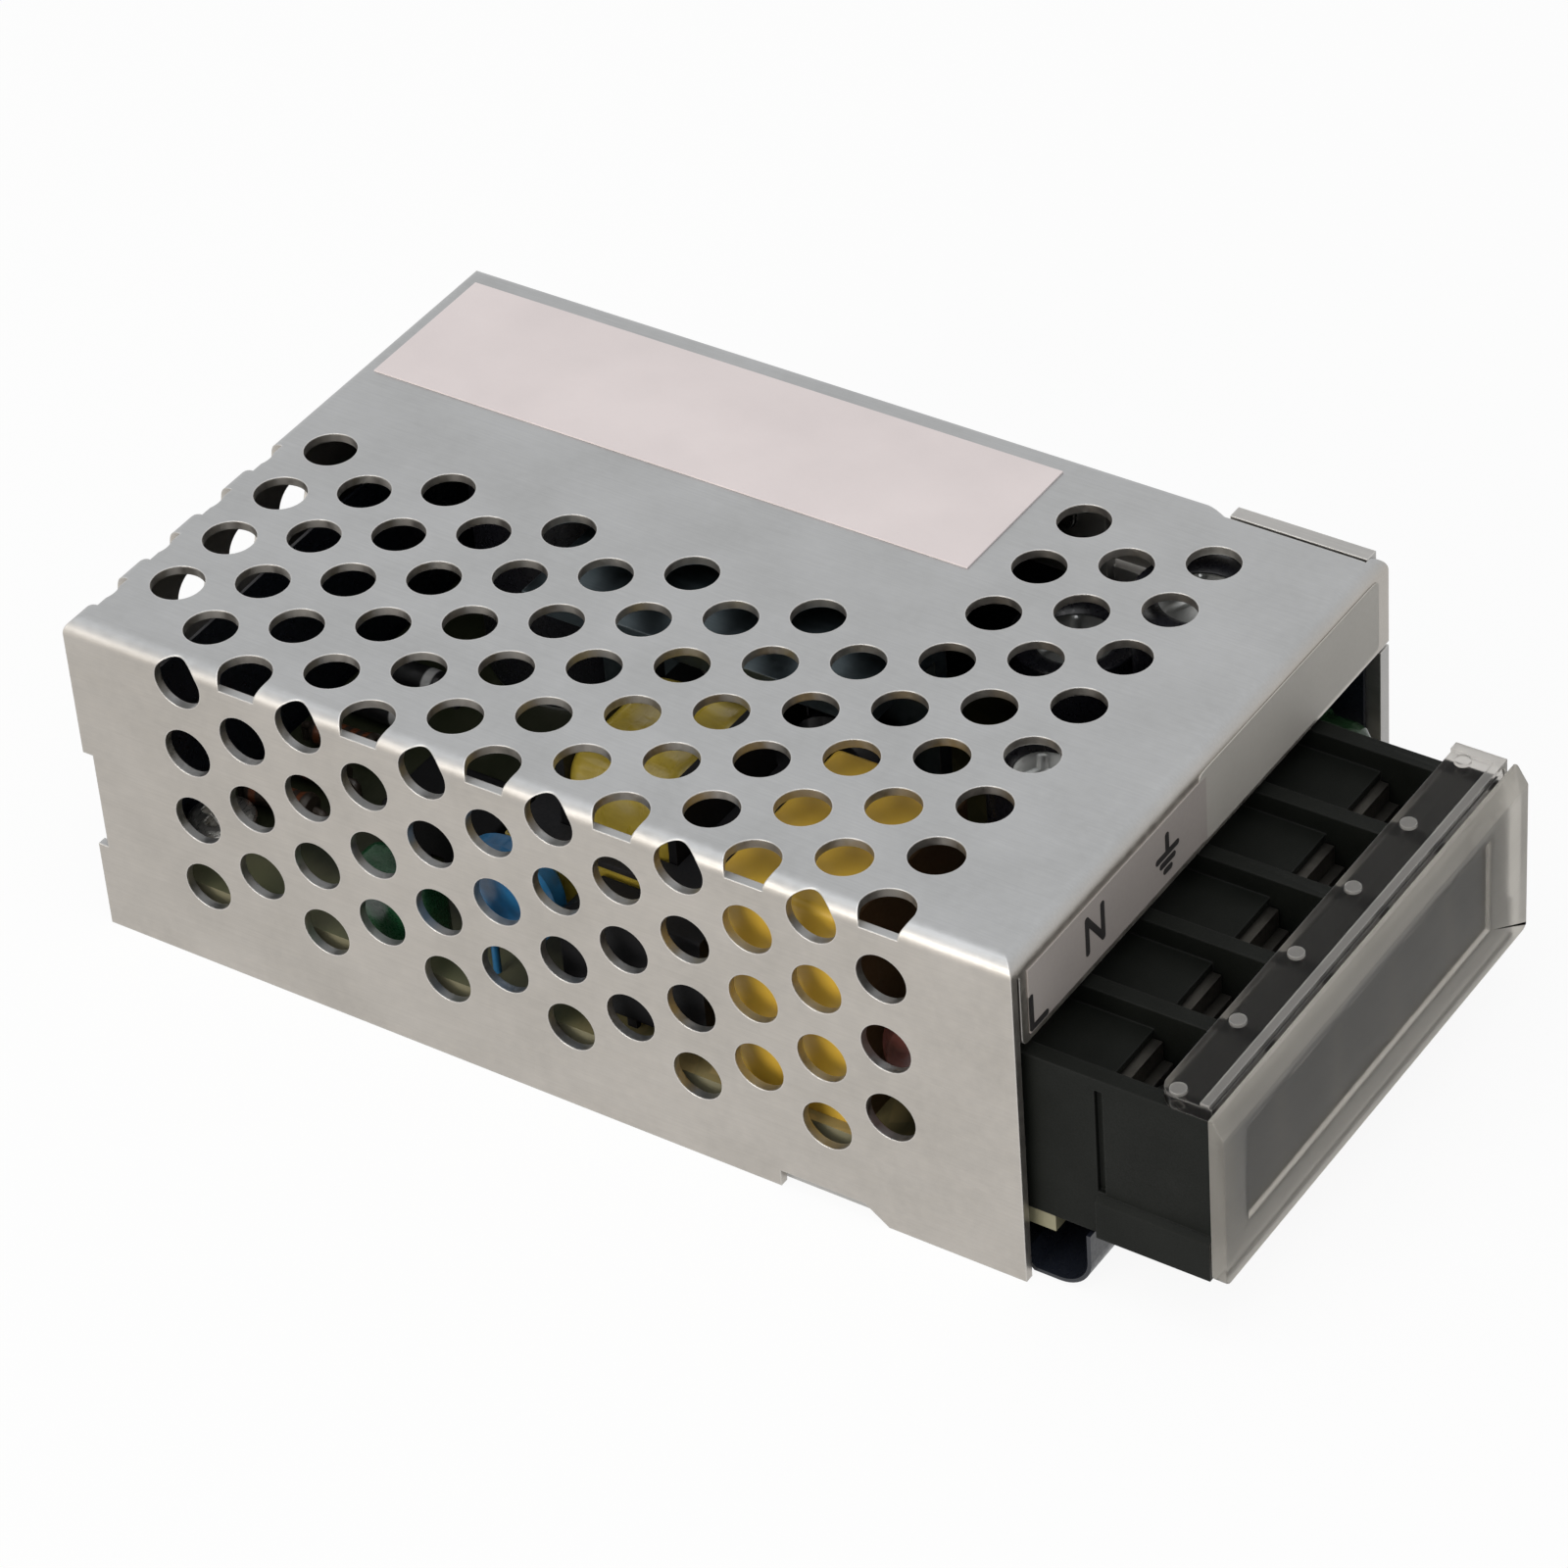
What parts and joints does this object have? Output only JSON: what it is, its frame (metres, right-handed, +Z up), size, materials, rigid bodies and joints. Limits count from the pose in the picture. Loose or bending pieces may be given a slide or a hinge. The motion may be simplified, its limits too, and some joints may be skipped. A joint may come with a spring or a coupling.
{
  "type": "switching power supply",
  "caption": "Enclosed switching power supply: perforated folded metal case, barrier terminal block with a clear lift-up cover, and the populated circuit board inside.",
  "frame": {"origin": "centre of the whole supply's footprint, on its mounting face", "axes": "+X out of the terminal end, -Y towards the perforated side, +Z up from the base plate"},
  "size_m": [0.0946, 0.051, 0.0281],
  "materials": {
    "cover_metal": "satin, lightly brushed sheet",
    "chassis_metal": "satin sheet",
    "screw_steel": "bright zinc",
    "label_film": "blank satin film",
    "strip_film": "blank matte film",
    "insulation_film": "dark smooth film",
    "board_laminate": "bare laminate edge, lacquered top",
    "block_plastic": "black moulded thermoplastic",
    "terminal_metal": "bright tin plate",
    "clear_plastic": "clear smoky polycarbonate",
    "fuse_glass": "clear glass",
    "maroon_coat": "dipped maroon coating",
    "blue_coat": "dipped blue coating",
    "yellow_case": "moulded yellow case",
    "green_case": "dipped green coating",
    "dark_ferrite": "fired ferrite",
    "enamel_copper": "enamelled copper wire",
    "black_plastic": "black moulding",
    "tape_yellow": "polyester tape",
    "can_aluminium": "bright can",
    "sleeve_black": "shrink sleeve",
    "heatsink_slate": "dark anodised sheet",
    "pad_grey": "thermal pad",
    "resistor_coat": "lacquered body",
    "lamp_resin": "green tinted resin",
    "trimmer_plastic": "cream moulding"
  },
  "bodies": {
    "case": {"vent_cover": "cover_metal", "chassis": "chassis_metal", "cover_screws": "screw_steel", "rating_label": "label_film", "marking_strip": "strip_film", "insulation_sheet": "insulation_film", "circuit_board": "board_laminate", "board_standoffs": "screw_steel", "board_screws": "screw_steel", "terminal_block": "block_plastic", "terminal_plates": "terminal_metal", "terminal_washers": "terminal_metal", "terminal_screws": "screw_steel", "cover_strip": "clear_plastic", "fuse_tube": "fuse_glass", "fuse_caps": "terminal_metal", "inrush_thermistor": "maroon_coat", "y_capacitors": "blue_coat", "x_capacitor": "yellow_case", "film_capacitor": "green_case", "choke_core": "dark_ferrite", "choke_windings": "enamel_copper", "choke_base": "black_plastic", "bulk_capacitor": "can_aluminium", "bulk_capacitor_sleeve": "sleeve_black", "output_capacitors": "can_aluminium", "output_capacitor_sleeves": "sleeve_black", "transformer_core": "dark_ferrite", "transformer_bobbin": "black_plastic", "transformer_winding": "tape_yellow", "transformer_tape": "tape_yellow", "transistor_heatsink": "heatsink_slate", "switch_transistor": "black_plastic", "rectifier_heatsink": "heatsink_slate", "output_rectifier": "black_plastic", "insulating_pads": "pad_grey", "tab_screws": "screw_steel", "bridge_rectifier": "black_plastic", "controller_chip": "black_plastic", "optocoupler": "black_plastic", "resistors": "resistor_coat", "diodes": "black_plastic", "output_choke_core": "dark_ferrite", "output_choke_winding": "enamel_copper", "trimmer_body": "trimmer_plastic", "indicator_lamp": "lamp_resin"},
    "flap": {"cover_flap": "clear_plastic"},
    "trimmer": {"trimmer_rotor": "trimmer_plastic"}
  },
  "joints": [
    {"name": "flap_hinge", "type": "hinge", "parent": "case", "child": "flap", "pos_m": [0.046, -0.0033, 0.0207], "axis": [0, -1, 0], "range_deg": [0, 120]},
    {"name": "trimmer_turn", "type": "hinge", "parent": "case", "child": "trimmer", "pos_m": [0.0319, 0.0208, 0.00905], "axis": [1, 0, 0], "range_deg": [-130, 130]}
  ]
}
